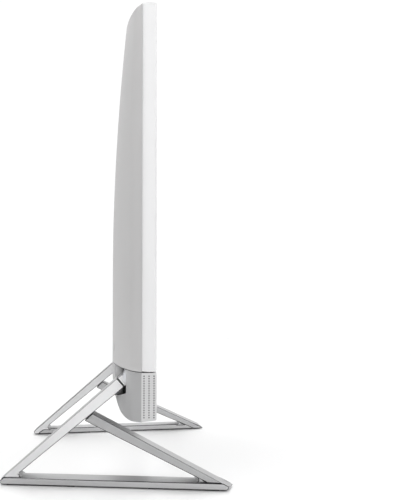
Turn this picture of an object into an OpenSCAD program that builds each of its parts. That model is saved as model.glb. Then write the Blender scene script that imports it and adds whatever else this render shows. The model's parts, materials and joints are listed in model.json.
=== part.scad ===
// All-in-one desktop computer: a slim display head on two triangular metal legs.
// Millimetres. +X is the width, the screen faces -Y, +Z is up.
// The origin is on the desk, midway between the legs' front tips and their back corners.

/* [Head] */
// Width of the head
head_w = 540.4; // [520:0.1:560]
// Height of the head's top edge above the desk
head_top = 410.7; // [408:0.1:414]
// Depth of the head at its thickest
head_depth = 39; // [38:0.5:44]
// Depth of the straight rim behind the screen's front plane
rim_depth = 12.5; // [12:0.5:14]
// Height of the seam between the display and the chin
seam_z = 102.8; // [102:0.1:104]
// Height of the chin's underside
chin_z = 60.9; // [59:0.1:62]
// Width of the dark line at the seam
seam_gap = 0.6; // [0.3:0.1:1]
// Thickness of the plastic walls
wall = 2.2; // [1.8:0.1:2.6]
// Radius of the back's curve towards the sides
plan_radius = 740; // [700:10:900]
// Radius of the back's curve towards the top
side_radius = 1820; // [1600:10:2000]

/* [Screen] */
// Width of the lit area
active_w = 527; // [520:0.5:530]
// Height of the lit area
active_h = 296.5; // [290:0.5:297]

/* [Stand] */
// Outer face of each leg's rear strut, from the centre plane
leg_x = 196; // [190:1:200]
// Depth of the leg's bars along X
leg_w = 31; // [28:0.5:33]
// Y of the legs' back corners
foot_back = 101.9; // [100:0.1:104]
// Y of the outer corner of each front tip
tip_y = -96; // [-97:0.1:-94]
// Plan angle at which the bottom bar splays outwards
bar_splay = 13.2; // [12:0.1:15]
// Thickness of the rubber pads under the legs
pad_h = 0.8; // [0.5:0.1:1.2]

/* [Hinge] */
// Radius of the tilt shaft
shaft_r = 4; // [3.5:0.1:4.5]
// Radial running clearance between the shaft and its blocks
shaft_play = 0.05; // [0.02:0.01:0.08]

/* [Controls] */
// Radius of the power button's cap
button_r = 3.2; // [3:0.1:3.3]
// Travel of the power button
button_travel = 0.8; // [0.5:0.1:1]

/* [Hidden] */
$fn = 48;
arc_fn = 360;
eps = 0.01;
far = 600;

// Planes from front to back.
screen_y = -34;
rim_y = screen_y + rim_depth;
back_y = screen_y + head_depth;
inner_back_y = back_y - wall;
panel_y = screen_y + 1.8;
tray_y = screen_y + 7.8;
plate_y = rim_y - 1.1;
plate_back = plate_y + 1.2;
board_y = plate_back + 5;
board_back = board_y + 1.6;

// Places in the head.
half_w = head_w / 2;
bulge_top = head_top - 1.6;
plan_flat = 90;
side_flat_z = 173.5;
side_slope = 0.5;
top_slope = 0.35;
screen_z = seam_z + 4.6;
lens_z = head_top - 4.7;

// Chin: a back corner of two arcs, and an underside that rises towards the screen.
level_y = back_y - 18;
under_rise = 2.6;
corner_r = 10;
curve_r = 53.4;
curve_z = chin_z + 33;
corner_y = back_y - 16.6;

// Tilt axis, along X.
tilt_y = -13;
tilt_z = 95.5;
knuckle_r = 6.4;

// Side outline of the legs: edge lines given by where they meet the desk and their angle.
rear_top_foot = 106.2;
rear_top_angle = 40.78;
rear_low_foot = 97.5;
rear_low_angle = 38.87;
front_top_foot = -104.6;
front_top_angle = 26.19;
front_low_foot = -92.5;
front_low_angle = 24.69;
bar_top = 6.55;
joint_y = -4.1;
joint_z = 89.2;
joint_angle = 39.8;
joint_gap = 0.5;
strut_t = 10;
tip_x = leg_x + (foot_back - tip_y) * tan(bar_splay);
tip_r = 2.9;
back_r = 2.6;
tongue = [14, 22, 4];
leg_screw_d = [6, 16];

// Parts on the system board.
cpu = [-20, 235];
fan = [150, 243];
fan_half = 38;
fan_back = -7;
fins_z = fan[1] + fan_half + 2;
pipe_z = fins_z + 9;
board_box = [-110, 128, 90, 300];
port_z = 142;
port_face = inner_back_y - 0.4;
usb_x = [-10, 12, 34, 54];
button_at = [235, -27.3];
cover_screw_at = [[-150, 118], [150, 118], [-150, 376], [150, 376], [0, 384]];
standoff_at = [[-104, 134], [84, 134], [-104, 294], [84, 294], [-10, 160], [20, 286]];
speaker_x = [60, 140];
cable_z = 96;

// ---- shared shapes ----

module block(low, high) translate(low) cube(high - low);

// A (Y, Z) outline drawn along X.
module along_x(x0, x1) translate([x0, 0, 0]) rotate([90, 0, 90]) linear_extrude(x1 - x0) children();

module rod_x(y, z, r, x0, x1) translate([x0, y, z]) rotate([0, 90, 0]) cylinder(r = r, h = x1 - x0);

module rod_y(x, z, r, y0, y1) translate([x, y0, z]) rotate([-90, 0, 0]) cylinder(r = r, h = y1 - y0);

module rod_z(x, y, r, z0, z1) translate([x, y, z0]) cylinder(r = r, h = z1 - z0);

module both_sides() {
    children();
    mirror([1, 0, 0]) children();
}

// ---- head shell ----

// Plan of the head at the given inset: flat middle, large arcs and slanted back corners.
module plan_outline(inset) {
    half = half_w - inset;
    edge_y = rim_y - inset / 2;
    intersection() {
        union() {
            translate([-plan_flat, screen_y]) square([2 * plan_flat, head_depth - inset]);
            for (s = [-1, 1])
                intersection() {
                    translate([s * plan_flat, back_y - plan_radius])
                        circle(r = plan_radius - inset, $fn = arc_fn);
                    translate([s > 0 ? plan_flat - eps : -half_w, screen_y])
                        square([half_w - plan_flat + eps, far]);
                }
        }
        polygon([[-half, screen_y], [half, screen_y], [half, edge_y],
                 [0, edge_y + half * side_slope], [-half, edge_y]]);
    }
}

// Side outline of the bulge from a low edge to its slanted top.
module side_outline(inset, low_z) {
    top = bulge_top - inset;
    edge_y = rim_y - inset / 2;
    intersection() {
        union() {
            translate([screen_y, low_z]) square([head_depth - inset, side_flat_z - low_z + eps]);
            intersection() {
                translate([back_y - side_radius, side_flat_z])
                    circle(r = side_radius - inset, $fn = arc_fn);
                translate([screen_y, side_flat_z]) square([far, far]);
            }
        }
        polygon([[screen_y, low_z], [screen_y, top], [edge_y, top],
                 [edge_y + 60, top - 60 * top_slope], [edge_y + 60, low_z]]);
    }
}

module bulge(inset, low_z) {
    intersection() {
        translate([0, 0, low_z]) linear_extrude(bulge_top - low_z) plan_outline(inset);
        along_x(-half_w, half_w) side_outline(inset, low_z);
    }
}

// Side outline of the chin: a rising underside, and a long curve into a small one at the back.
module chin_side(inset, top_z) {
    low = chin_z + inset;
    corner = [corner_y, chin_z + corner_r];
    curve = [back_y - curve_r, curve_z];
    out = corner + (corner - curve) * 2;
    polygon([[screen_y + inset, top_z], [screen_y + inset, low + under_rise], [level_y, low],
             [corner_y, low], [corner_y, top_z]]);
    translate(corner) circle(r = corner_r - inset);
    intersection() {
        translate(curve) circle(r = curve_r - inset, $fn = arc_fn);
        polygon([corner, out, [out[0], curve_z], [corner_y, curve_z]]);
    }
    translate([corner_y - eps, curve_z]) square([back_y - inset - corner_y + eps, top_z - curve_z]);
}

module chin(inset, top_z) {
    intersection() {
        translate([0, 0, chin_z]) linear_extrude(top_z - chin_z) plan_outline(inset);
        along_x(-half_w, half_w) chin_side(inset, top_z);
    }
}

// ---- stand ----

// Height at y of an edge line that meets the desk at foot.
function line_z(foot, angle, y) = abs(y - foot) * tan(angle);

// Y at height z of such a line, which leans towards +Y (side 1) or -Y (side -1).
function line_y(foot, angle, z, side) = foot + side * z / tan(angle);

// Y where the front strut's top edge meets the rear strut's lower edge.
meet_y = (rear_low_foot * tan(rear_low_angle) + front_top_foot * tan(front_top_angle))
    / (tan(rear_low_angle) + tan(front_top_angle));
strut_splay = atan((tip_x - leg_x) / (meet_y - tip_y));

// Rounds the inner corner between the bottom bar and a strut that rises to that side.
module inner_fillet(y, angle, r, side) {
    reach = r / tan(angle / 2);
    centre = [y + side * reach, bar_top + r];
    difference() {
        polygon([[y - side * 2, bar_top - 1], [y + side * reach, bar_top - 1], centre,
                 [y + side * reach * cos(angle), bar_top + reach * sin(angle)]]);
        translate(centre) circle(r = r);
    }
}

module rear_strut_side() {
    half_t = strut_t / 2;
    dy = half_t * sin(joint_angle);
    dz = half_t * cos(joint_angle);
    polygon([[rear_top_foot, 0], [joint_y + dy, joint_z + dz], [joint_y - dy, joint_z - dz],
             [rear_low_foot, 0]]);
    inner_fillet(line_y(rear_low_foot, rear_low_angle, bar_top, -1), rear_low_angle, 2.5, -1);
}

module front_strut_side() {
    end_y = meet_y + 7;
    polygon([[front_top_foot, 0], [meet_y, line_z(front_top_foot, front_top_angle, meet_y)],
             [end_y, line_z(front_low_foot, front_low_angle, end_y)], [front_low_foot, 0]]);
    inner_fillet(line_y(front_low_foot, front_low_angle, bar_top, 1), front_low_angle, 2.1, 1);
}

module bottom_bar_side() {
    polygon([[rear_top_foot, 0], [line_y(rear_top_foot, rear_top_angle, bar_top, -1), bar_top],
             [line_y(front_top_foot, front_top_angle, bar_top, 1), bar_top], [front_top_foot, 0]]);
}

// Plan band that runs from the front tip to y, with its outer edge at the splay angle.
module splayed_band(angle, y, inset = 0) {
    start = tip_y - 20;
    x0 = tip_x - (start - tip_y) * tan(angle);
    x1 = tip_x - (y - tip_y) * tan(angle);
    polygon([[x0 - inset, start], [x1 - inset, y],
             [x1 - leg_w + inset, y], [x0 - leg_w + inset, start]]);
}

// Space in front of which the leg ends: a rounded tip square to the bottom bar.
module tip_limit() {
    translate([tip_x, tip_y, pad_h]) rotate([0, 0, bar_splay]) along_x(-far, far) {
        translate([tip_r, 0]) square([far, far]);
        translate([tip_r, tip_r]) circle(r = tip_r);
    }
}

// Space behind which the leg ends: a rounded back corner.
module back_limit() {
    translate([0, 0, pad_h]) along_x(0, far) {
        translate([foot_back - back_r - far, 0]) square([far, far]);
        translate([foot_back - back_r, back_r]) circle(r = back_r);
    }
}

// Frame at the joint between leg and hinge arm: +Y runs down the rear strut.
module at_joint() {
    translate([leg_x - leg_w / 2, joint_y, joint_z]) rotate([-joint_angle, 0, 0]) children();
}

module tongue_block(play) {
    translate([-tongue[0] / 2 - play, 0, -tongue[2] / 2 - play])
        cube([tongue[0] + 2 * play, tongue[1] + play, tongue[2] + 2 * play]);
}

module leg_screw_holes() {
    half_t = strut_t / 2;
    at_joint() for (d = leg_screw_d) {
        rod_z(0, d, 1.6, -half_t, 0);
        rod_z(0, d, 3, -half_t - 2, -half_t + 2);
    }
}

// One leg on the +X side: rear strut, bottom bar and front strut in one casting.
module leg() {
    difference() {
        intersection() {
            tip_limit();
            back_limit();
            union() {
                along_x(leg_x - leg_w, leg_x) rear_strut_side();
                intersection() {
                    linear_extrude(far) splayed_band(bar_splay, foot_back + 5);
                    along_x(0, far) bottom_bar_side();
                }
                intersection() {
                    linear_extrude(far) splayed_band(strut_splay, meet_y + 7);
                    along_x(0, far) front_strut_side();
                }
            }
        }
        at_joint() {
            block([-20, -10, -12], [20, joint_gap, 12]);
            tongue_block(0.15);
        }
        leg_screw_holes();
    }
}

module left_leg() color("silver") mirror([1, 0, 0]) leg();
module right_leg() color("silver") leg();

// A rubber strip under each end of each bottom bar.
module foot_pads() {
    strips = [[tip_y + 8, tip_y + 68], [foot_back - 66, foot_back - 6]];
    color("dimgray") both_sides() for (s = strips)
        intersection() {
            linear_extrude(pad_h) splayed_band(bar_splay, foot_back + 5, 3);
            block([0, s[0], 0], [far, s[1], pad_h]);
        }
}

// Arm that carries the head: a knuckle on the shaft and a tongue into the leg.
module hinge_arm() {
    half_t = strut_t / 2;
    dy = half_t * sin(joint_angle);
    dz = half_t * cos(joint_angle);
    difference() {
        union() {
            along_x(leg_x - leg_w, leg_x) difference() {
                union() {
                    polygon([[joint_y + dy, joint_z + dz], [tilt_y + dy, tilt_z + dz],
                             [tilt_y - dy, tilt_z - dz], [joint_y - dy, joint_z - dz]]);
                    translate([tilt_y, tilt_z]) circle(r = knuckle_r);
                }
                translate([tilt_y, tilt_z]) circle(r = shaft_r);
            }
            at_joint() tongue_block(0);
        }
        at_joint() for (d = leg_screw_d) rod_z(0, d, 1.5, -5, 5);
    }
}

module left_hinge_arm() color("silver") mirror([1, 0, 0]) hinge_arm();
module right_hinge_arm() color("silver") hinge_arm();

// Shaft through both arms and all four bearing blocks.
module hinge_shaft() color("lightsteelblue") rod_x(tilt_y, tilt_z, shaft_r, -222, 222);

// Collars that stop the shaft from sliding, at its two ends.
module shaft_collars() color("gray") both_sides() difference() {
    rod_x(tilt_y, tilt_z, 6.4, 216, 221);
    rod_x(tilt_y, tilt_z, shaft_r, 215, 222);
}

module leg_screws() {
    half_t = strut_t / 2;
    color("gray") both_sides() at_joint() for (d = leg_screw_d) difference() {
        union() {
            rod_z(0, d, 1.45, -half_t + 1, 1.8);
            rod_z(0, d, 2.8, -half_t + 0.2, -half_t + 2);
        }
        translate([-0.4, d - 1.6, -half_t]) cube([0.8, 3.2, 1]);
    }
}

// ---- display ----

// Straight white rim round the screen, open at the front and the back.
module rim_frame() {
    low = seam_z + seam_gap / 2;
    lip = 2;
    color("white") difference() {
        block([-half_w, screen_y, low], [half_w, rim_y, head_top]);
        block([-half_w + wall, screen_y - 1, low + lip], [half_w - wall, rim_y + 1, head_top - wall]);
        block([-half_w + wall, plate_y - 0.4, low - 1], [half_w - wall, rim_y + 1, low + lip + 1]);
    }
}

module screen_bezel() {
    x = half_w - wall - 0.2;
    low = seam_z + 2.6;
    top = head_top - wall - 0.2;
    groove = [[-6.5, lens_z - 1.6], [18, lens_z + 1.6]];
    color("black") difference() {
        block([-x, screen_y + 0.1, low], [x, panel_y - 0.1, top]);
        block([-active_w / 2, screen_y - 1, screen_z], [active_w / 2, panel_y + 1, screen_z + active_h]);
        block([groove[0][0], screen_y - 1, groove[0][1]], [groove[1][0], screen_y + 1.1, groove[1][1]]);
        rod_y(0, lens_z, 1.3, screen_y, panel_y + 1);
        block([3.6, screen_y, lens_z - 0.8], [15.4, panel_y + 1, lens_z + 0.8]);
    }
}

module lcd_panel() {
    x = active_w / 2 + 1.5;
    color([0.05, 0.06, 0.08])
        block([-x, panel_y, screen_z - 1.6], [x, panel_y + 2, screen_z + active_h + 0.9]);
}

module light_guide() {
    x = active_w / 2 + 1;
    color("whitesmoke")
        block([-x, panel_y + 2.2, screen_z], [x, tray_y - 0.8, screen_z + active_h + 0.9]);
}

module led_strip() {
    x = active_w / 2 - 4;
    color("khaki") block([-x, panel_y + 2.2, screen_z - 1.6], [x, tray_y - 0.8, screen_z - 0.2]);
}

// Pressed tray that holds the light guide.
module panel_tray() {
    x = active_w / 2 + 1.5;
    low = screen_z - 1.6;
    top = screen_z + active_h + 0.9;
    color("lightgray") difference() {
        block([-x, tray_y - 0.6, low], [x, tray_y + 0.6, top]);
        for (sx = [-170, 0, 170])
            block([sx - 50, tray_y, low + 60], [sx + 50, tray_y + 1, top - 60]);
    }
}

module panel_control_board() {
    back = plate_y - 0.8;
    color("darkgreen") {
        block([-100, back - 1, screen_z + 6], [100, back, screen_z + 20]);
        for (x = [-70, -20, 40]) block([x, back - 1.9, screen_z + 9], [x + 18, back - 1, screen_z + 17]);
    }
}

// ---- casings ----

// Steel plate that everything in the head is fixed to.
module chassis_plate() {
    x = half_w - 16;
    color("lightgray") difference() {
        union() {
            block([-x, plate_y, seam_z + 6], [x, plate_back, head_top - 14]);
            block([-236, plate_y, chin_z + 8], [236, plate_back, seam_z + 6]);
        }
        for (s = [-1, 1]) block([s * 55 - 5, plate_y - 1, cable_z - 2], [s * 55 + 5, plate_back + 1, cable_z + 2]);
        block([-24, plate_y - 1, 116], [24, plate_back + 1, 124]);
        for (s = [-1, 1]) block([s * 232 - 12, plate_y - 1, 160], [s * 232 + 12, plate_back + 1, 350]);
        for (p = cover_screw_at) rod_y(p[0], p[1], 1.5, plate_y - 1, plate_back + 1);
        for (p = standoff_at) rod_y(p[0], p[1], 1.5, plate_y - 1, plate_back + 1);
    }
}

// A slot with square ends through the back wall.
module vent_slot(x, z, w, h) block([x - w / 2, -25, z - h / 2], [x + w / 2, back_y + 1, z + h / 2]);

module vents() {
    for (i = [0:10]) vent_slot(fan[0], fan[1] - 30 + 6 * i, 56, 2.4);
    for (i = [0:46]) vent_slot(7 * (i - 23), 352, 3, 14);
}

module io_window(play) {
    block([-108 - play, -10, port_z - 13 - play], [88 + play, back_y + 1, port_z + 13 + play]);
}

module back_cover() {
    low = seam_z + seam_gap / 2;
    color("whitesmoke") difference() {
        union() {
            difference() {
                bulge(0, low);
                difference() {
                    bulge(wall, low - 1);
                    block([-far, -far, bulge_top - wall], [far, far, far]);
                }
                block([-far, screen_y - 1, low - 1], [far, rim_y, far]);
            }
            for (p = cover_screw_at) intersection() {
                rod_y(p[0], p[1], 4.4, plate_back, back_y);
                bulge(0.5, low);
            }
        }
        for (p = cover_screw_at) {
            rod_y(p[0], p[1], 1.6, plate_back - 1, back_y + 1);
            rod_y(p[0], p[1], 3.2, plate_back + 6, back_y + 1);
        }
        vents();
        io_window(0);
        block([126, -8, port_z - 4], [134, back_y + 1, port_z - 1]);
    }
}

// Front half of the chin, which carries the sound holes.
module speaker_grille() {
    top = seam_z - seam_gap / 2;
    color("gainsboro") difference() {
        chin(0, top);
        difference() {
            chin(wall, top + 1);
            block([-far, screen_y, chin_z], [far, screen_y + wall, top + 1]);
        }
        block([-far, rim_y, chin_z - 1], [far, far, top + 1]);
        rod_z(button_at[0], button_at[1], button_r + 0.3, chin_z - 1, chin_z + 12);
    }
}

// Slot in the chin that the hinge arm sweeps through as the head tilts.
slot_x = [leg_x - leg_w - 2, 226];

module arm_slot() {
    translate([0, 40, 0]) rotate([90, 0, 0]) linear_extrude(56)
        polygon([[slot_x[0], 75], [leg_x + 2, 78], [slot_x[1], 82],
                 [slot_x[1], seam_z + 2], [slot_x[0], seam_z + 2]]);
}

// Walls that line both sides of an arm slot.
module slot_walls(top_z) {
    intersection() {
        chin(wall / 2, top_z);
        union() {
            block([slot_x[0] - 0.9, -5.2, 73], [slot_x[0], far, top_z]);
            block([slot_x[1], -18, 80], [slot_x[1] + 1.2, far, top_z]);
        }
    }
}

module chin_cover() {
    top = seam_z - seam_gap / 2;
    color("silver") difference() {
        union() {
            difference() {
                chin(0, top);
                chin(wall, top + 1);
                block([-far, screen_y - 1, chin_z - 1], [far, rim_y, top + 1]);
            }
            both_sides() slot_walls(top);
        }
        both_sides() arm_slot();
    }
}

// Bearing block: two ears on a base plate, each with a running bore.
module hinge_block() {
    ears = [[leg_x - leg_w - 14, leg_x - leg_w - 3], [leg_x + 3, leg_x + 14]];
    color("slategray") difference() {
        union() {
            block([ears[0][0], plate_back, tilt_z - 12], [ears[1][1], plate_back + 1.4, tilt_z + 6]);
            for (e = ears) {
                rod_x(tilt_y, tilt_z, 7.4, e[0], e[1]);
                block([e[0], plate_back, tilt_z - 7.4], [e[1], tilt_y, tilt_z + 6]);
            }
        }
        rod_x(tilt_y, tilt_z, shaft_r + shaft_play, 100, 260);
    }
}

module left_hinge_block() mirror([1, 0, 0]) hinge_block();
module right_hinge_block() hinge_block();

// ---- sound ----

// Closed speaker box that faces the sound holes.
module speaker() {
    front = screen_y + wall + 0.6;
    back = plate_y - 0.4;
    mid = (speaker_x[0] + speaker_x[1]) / 2;
    z = 80;
    color("dimgray") difference() {
        block([speaker_x[0], front, z - 11], [speaker_x[1], back, z + 11]);
        for (s = [-1, 1]) rod_y(mid + s * 18, z, 9, front - 1, front + 3);
    }
    color("black") for (s = [-1, 1]) rod_y(mid + s * 18, z, 4, front + 3, front + 4.5);
}

module left_speaker() mirror([1, 0, 0]) speaker();
module right_speaker() speaker();

// ---- computer ----

module system_board() {
    color("darkgreen") difference() {
        block([board_box[0], board_y, board_box[1]], [board_box[2], board_back, board_box[3]]);
        for (p = standoff_at) rod_y(p[0], p[1], 1.7, board_y - 1, board_back + 1);
    }
    color("dimgray") {
        for (i = [0:3]) rod_y(-62, 212 + 13 * i, 3.5, board_back, board_back + 7);
        block([30, board_back, 232], [50, board_back + 1.5, 252]);
    }
}

module board_standoffs() {
    color("gold") for (p = standoff_at) difference() {
        rod_y(p[0], p[1], 2.8, plate_back, board_y);
        rod_y(p[0], p[1], 1.2, plate_back - 1, board_y + 1);
    }
}

module board_screws() {
    color("silver") for (p = standoff_at) {
        rod_y(p[0], p[1], 1.1, plate_back + 1, board_back + 0.2);
        rod_y(p[0], p[1], 2.6, board_back, board_back + 1.4);
    }
}

module processor() {
    color("gray") {
        block([cpu[0] - 18.7, board_back, cpu[1] - 18.7], [cpu[0] + 18.7, board_back + 1.2, cpu[1] + 18.7]);
        block([cpu[0] - 13, board_back + 1.2, cpu[1] - 13], [cpu[0] + 13, board_back + 2.4, cpu[1] + 13]);
    }
}

cold_y = board_back + 2.4;
pipe_y = cold_y + 3;
pipe_t = 2.6;

module cold_plate() {
    color("peru") block([cpu[0] - 24, cold_y, cpu[1] - 24], [cpu[0] + 24, pipe_y, cpu[1] + 24]);
}

// Flattened pipe: up from the cold plate, round a bend and along the fins.
module heat_pipe() {
    w = 8;
    bend = 20;
    x = cpu[0];
    color("peru") rotate([90, 0, 0]) translate([0, 0, -pipe_y - pipe_t]) linear_extrude(pipe_t) {
        translate([x - w / 2, cpu[1] - 20]) square([w, pipe_z - bend - cpu[1] + 20]);
        translate([x + bend, pipe_z - bend]) intersection() {
            difference() {
                circle(r = bend + w / 2);
                circle(r = bend - w / 2);
            }
            translate([-2 * bend, 0]) square(2 * bend);
        }
        translate([x + bend, pipe_z - w / 2]) square([fan[0] + fan_half - 2 - x - bend, w]);
    }
}

module heat_sink_fins() {
    x0 = fan[0] - fan_half;
    count = 30;
    pitch = (2 * fan_half - 0.5) / (count - 1);
    color("tan") {
        for (i = [0:count - 1])
            block([x0 + i * pitch, plate_back + 0.6, fins_z], [x0 + i * pitch + 0.5, pipe_y, fins_z + 18]);
        block([x0, plate_back, fins_z], [x0 + 2 * fan_half, plate_back + 0.6, fins_z + 18]);
    }
}

// Blower housing: floor with a spindle, and walls open towards the fins.
module fan_housing() {
    back = fan_back - 1;
    color("black") {
        difference() {
            block([fan[0] - fan_half, plate_back, fan[1] - fan_half],
                  [fan[0] + fan_half, back, fan[1] + fan_half]);
            hull() {
                rod_y(fan[0], fan[1], 34, plate_back + 1.2, back + 1);
                block([fan[0] - 34, plate_back + 1.2, fan[1] + 10],
                      [fan[0] + 34, back + 1, fan[1] + fan_half + 1]);
            }
        }
        rod_y(fan[0], fan[1], 1.5, plate_back + 1, back - 2);
    }
}

module fan_impeller() {
    front = plate_back + 2;
    back = fan_back - 2.4;
    color("dimgray") difference() {
        union() {
            rod_y(fan[0], fan[1], 13, front, back);
            for (i = [0:16]) translate([fan[0], 0, fan[1]]) rotate([0, i * 360 / 17, 0])
                translate([12, front + 1, 0]) rotate([0, 35, 0]) cube([20, back - front - 2, 0.9]);
        }
        rod_y(fan[0], fan[1], 1.56, front - 1, back + 1);
    }
}

module fan_cover() {
    color("gray") difference() {
        block([fan[0] - fan_half, fan_back - 1, fan[1] - fan_half],
              [fan[0] + fan_half, fan_back, fan[1] + fan_half]);
        rod_y(fan[0], fan[1], 22, fan_back - 2, fan_back + 1);
    }
}

memory_z = 169;
memory_x = [-104, -31];

module memory_sockets() {
    color("black") difference() {
        block([memory_x[0], board_back, memory_z - 7], [memory_x[1], board_back + 9, memory_z]);
        for (d = [2, 6.4])
            block([memory_x[0] + 1.5, board_back + d, memory_z - 4],
                  [memory_x[1] - 1.5, board_back + d + 1.4, memory_z + 1]);
    }
}

module memory_modules() {
    for (d = [2.1, 6.5]) {
        color("darkgreen")
            block([memory_x[0] + 1.7, board_back + d, memory_z - 3.8],
                  [memory_x[1] - 1.7, board_back + d + 1.2, memory_z + 26]);
        color("black") for (i = [0:3])
            block([memory_x[0] + 6 + 16 * i, board_back + d + 1.2, memory_z + 6],
                  [memory_x[0] + 18 + 16 * i, board_back + d + 2.2, memory_z + 17]);
    }
}

module solid_state_drive() {
    z = 168;
    color("darkgreen") {
        block([2, board_back + 2, z], [82, board_back + 2.8, z + 22]);
        block([-2, board_back, z], [2, board_back + 4, z + 22]);
    }
    color("black") for (i = [0:2])
        block([12 + 22 * i, board_back + 2.8, z + 4], [28 + 22 * i, board_back + 3.8, z + 18]);
}

module wireless_card() {
    color("darkgreen") {
        block([52, board_back + 2, 200], [82, board_back + 2.8, 222]);
        block([48, board_back, 200], [52, board_back + 4, 222]);
    }
    color("silver") block([56, board_back + 2.8, 204], [74, board_back + 4, 218]);
}

coin_at = [68, 248];

module coin_cell_holder() {
    color("black") difference() {
        rod_y(coin_at[0], coin_at[1], 12, board_back, board_back + 4);
        rod_y(coin_at[0], coin_at[1], 10.2, board_back + 1, board_back + 5);
    }
}

module coin_cell() color("silver") rod_y(coin_at[0], coin_at[1], 10, board_back + 1, board_back + 4.2);

drive_box = [-206, 190, -136, 290];

module hard_drive_bracket() {
    color("lightgray") {
        block([drive_box[0] - 3, plate_back, drive_box[1] - 2], [drive_box[2] + 3, plate_back + 1, drive_box[3] + 2]);
        for (x = [drive_box[0] - 3, drive_box[2] + 2])
            block([x, plate_back + 1, drive_box[1]], [x + 1, plate_back + 7, drive_box[3]]);
    }
}

module hard_drive() {
    back = plate_back + 8.6;
    color("silver") {
        block([drive_box[0], plate_back + 1.6, drive_box[1]], [drive_box[2], back, drive_box[3]]);
        rod_y(drive_box[0] + 32, drive_box[1] + 62, 26, back, back + 0.4);
    }
    color("darkgreen")
        block([drive_box[0] + 4, plate_back + 1, drive_box[1] + 2], [drive_box[2] - 4, plate_back + 1.6, drive_box[1] + 60]);
}

module antennas() {
    color("goldenrod") both_sides()
        block([196, plate_back, head_top - 30], [236, plate_back + 1.2, head_top - 22]);
}

// ---- sockets on the back ----

// A rectangular socket whose mouth faces backwards.
module socket(x, w, h, mouth_w, mouth_h, depth) {
    difference() {
        block([x - w / 2, board_back, port_z - h / 2], [x + w / 2, port_face, port_z + h / 2]);
        block([x - mouth_w / 2, port_face - depth, port_z - mouth_h / 2],
              [x + mouth_w / 2, port_face + 1, port_z + mouth_h / 2]);
    }
}

module io_plate() {
    y = inner_back_y - 1.6;
    color("dimgray") difference() {
        block([-107.8, y, port_z - 12.8], [87.8, inner_back_y, port_z + 12.8]);
        for (x = usb_x) vent_slot(x, port_z, 15.1, 7.7);
        vent_slot(-42, port_z, 17.1, 14.3);
        vent_slot(-68, port_z, 16.3, 6.9);
        rod_y(-94, port_z, 4.9, y - 1, inner_back_y + 1);
        rod_y(76, port_z, 4.1, y - 1, inner_back_y + 1);
    }
}

module usb_ports() color("silver") for (x = usb_x) socket(x, 14.5, 7.1, 12.5, 5.1, 12);

module network_port() {
    color("silver") difference() {
        socket(-42, 16.5, 13.7, 11.9, 7.2, 13);
        block([-45.2, port_face - 13, port_z - 5.6], [-38.8, port_face + 1, port_z - 3]);
    }
}

module video_port() color("silver") socket(-68, 15.7, 6.3, 14.1, 4.7, 11);

module power_inlet() {
    color("black") difference() {
        union() {
            block([-100, board_back, port_z - 6], [-88, port_face - 5, port_z + 6]);
            rod_y(-94, port_z, 4.6, port_face - 5.5, port_face);
        }
        rod_y(-94, port_z, 2.8, port_face - 10, port_face + 1);
    }
    color("silver") rod_y(-94, port_z, 0.8, port_face - 10.5, port_face - 1.5);
}

module audio_jack() {
    color("black") difference() {
        union() {
            block([71, board_back, port_z - 5], [81, port_face - 3, port_z + 5]);
            rod_y(76, port_z, 3.8, port_face - 3.5, port_face);
        }
        rod_y(76, port_z, 1.8, port_face - 14, port_face + 1);
    }
}

// ---- camera and controls ----

module webcam_module() {
    color("darkgreen") block([-30, panel_y + 1.8, lens_z - 1.1], [30, panel_y + 2.8, lens_z + 2.2]);
    color("black") {
        rod_y(0, lens_z, 1.1, panel_y - 0.4, panel_y + 1.9);
        block([-22, panel_y + 1, lens_z - 0.6], [-20, panel_y + 1.8, lens_z + 1.4]);
    }
}

// Slider that covers the lens when pushed sideways; a stem and a foot hold it in its groove.
module privacy_shutter() {
    color("dimgray") {
        block([4.4, screen_y + 0.2, lens_z - 1.3], [16, screen_y + 0.8, lens_z + 1.3]);
        block([13.2, screen_y + 0.7, lens_z - 0.5], [15.1, panel_y + 0.3, lens_z + 0.5]);
        block([12.6, panel_y + 0.2, lens_z - 1.2], [15.6, panel_y + 0.6, lens_z + 1.2]);
    }
}

module power_button() {
    low = chin_z + 1.4;
    flange = chin_z + wall + 3.2;
    color("white") {
        rod_z(button_at[0], button_at[1], button_r, low, flange + eps);
        rod_z(button_at[0], button_at[1], button_r + 0.9, flange, flange + 1.2);
    }
}

module power_switch_board() {
    low = chin_z + wall + 3.2 + 1.2 + button_travel + 0.3;
    x = button_at[0];
    color("darkgreen") block([x - 8, button_at[1] - 4, low + 1.5], [x + 8, plate_y - 0.4, low + 2.7]);
    color("silver") block([x - 3, button_at[1] - 3, low], [x + 3, button_at[1] + 3, low + 1.5]);
}

// ---- wiring ----

module display_cable() {
    color("gold") {
        block([-20, plate_y - 0.8, 117], [20, plate_y - 0.4, screen_z + 20]);
        block([-20, plate_y - 0.8, 117], [20, plate_back + 0.6, 117.4]);
        block([-20, plate_back + 0.2, 117], [20, plate_back + 0.6, 126]);
    }
}

wire_r = 0.7;
wire_y = plate_back + wire_r;

module wire_run_x(z, x0, x1) rod_x(wire_y, z, wire_r, x0, x1);
module wire_run_z(x, z0, z1) {
    rod_z(x, wire_y, wire_r, z0, z1);
    for (z = [z0, z1]) translate([x, wire_y, z]) sphere(r = wire_r);
}

// Between the tray and the plate, then over the panel's top edge to the camera.
module webcam_cable() {
    y = plate_y - 1.5;
    top = head_top - 4.1;
    color("dimgray") {
        rod_z(-26, y, wire_r, screen_z + 20, top);
        translate([-26, y, top]) sphere(r = wire_r);
        rod_y(-26, top, wire_r, panel_y + 2.8, y);
    }
}

module speaker_cables() {
    color("dimgray") for (s = [-1, 1], dx = [0, 2]) {
        wire_run_z(s * 54 + dx, cable_z, 127);
        rod_y(s * 54 + dx, cable_z, wire_r, plate_y - 5, wire_y);
    }
}

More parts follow.
